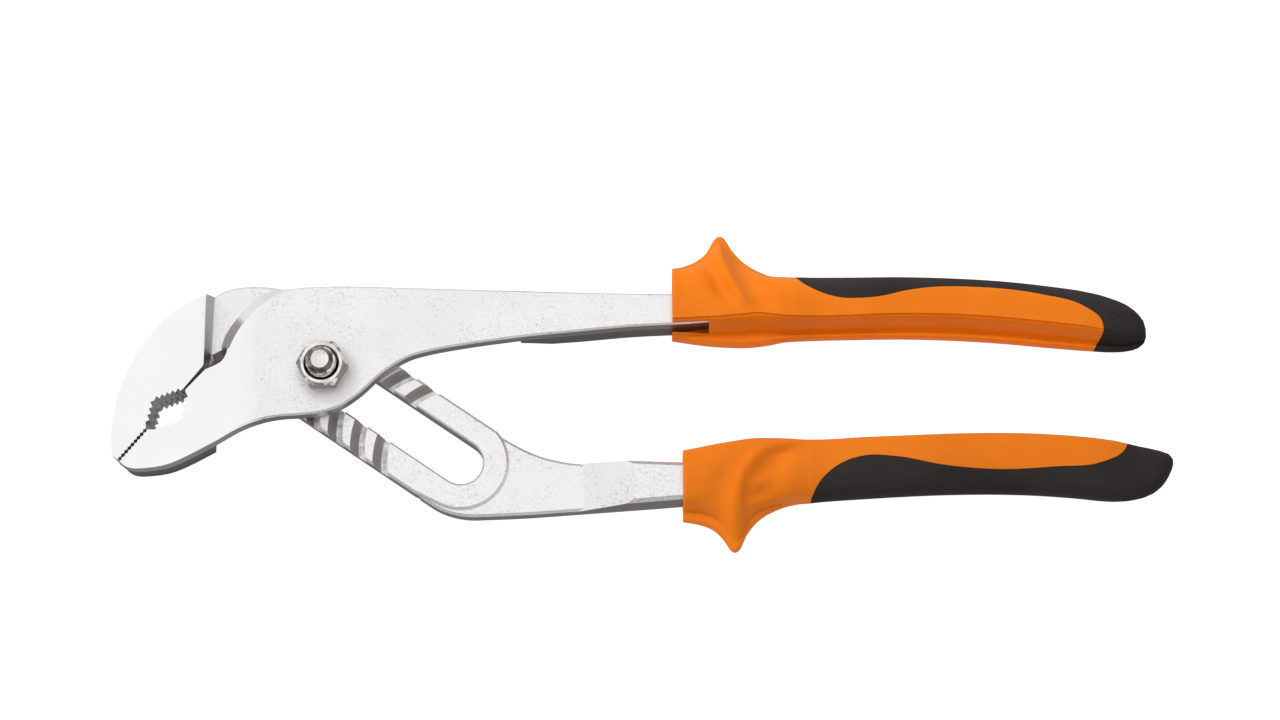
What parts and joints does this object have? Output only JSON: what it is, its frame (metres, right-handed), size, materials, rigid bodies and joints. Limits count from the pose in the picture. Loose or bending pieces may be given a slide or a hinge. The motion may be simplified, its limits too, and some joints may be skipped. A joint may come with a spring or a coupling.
{
  "type": "tongue and groove pliers",
  "caption": "Hand pliers with offset jaws and a tongue that seats in any of several arc grooves, for gripping pipes, nuts and fittings.",
  "frame": {"origin": "on the pivot bolt's axis, at the outer face of its head, which is the plane the tool lies on", "axes": "+X from the jaws towards the handle ends; +Z along the pivot axis towards the nut; +Y towards the handle of the tongue arm"},
  "size_m": [0.2471, 0.0756, 0.0222],
  "materials": {
    "forged_steel": "fine shot-blasted satin plating, jaws polished brighter",
    "plated_fastener": "bright zinc plating",
    "orange_sleeve": "semi-matt moulded plastic, fine texture",
    "black_inlay": "matt soft elastomer"
  },
  "bodies": {
    "grooved_side": {"grooved_arm": "forged_steel", "lower_grip_sleeve": "orange_sleeve", "lower_grip_inlay": "black_inlay"},
    "pivot": {"pivot_bolt": "plated_fastener", "hex_nut": "plated_fastener"},
    "tongue_side": {"tongue_arm": "forged_steel", "upper_grip_sleeve": "orange_sleeve", "upper_grip_inlay": "black_inlay"}
  },
  "joints": [
    {"name": "groove_slide", "type": "slide", "parent": "grooved_side", "child": "pivot", "axis": [0.829, -0.5592, 0], "range_m": [0, 0.0384]},
    {"name": "handle_hinge", "type": "hinge", "parent": "pivot", "child": "tongue_side", "pos_m": [0, 0, 0], "axis": [0, 0, 1], "range_deg": [0, 80]}
  ]
}
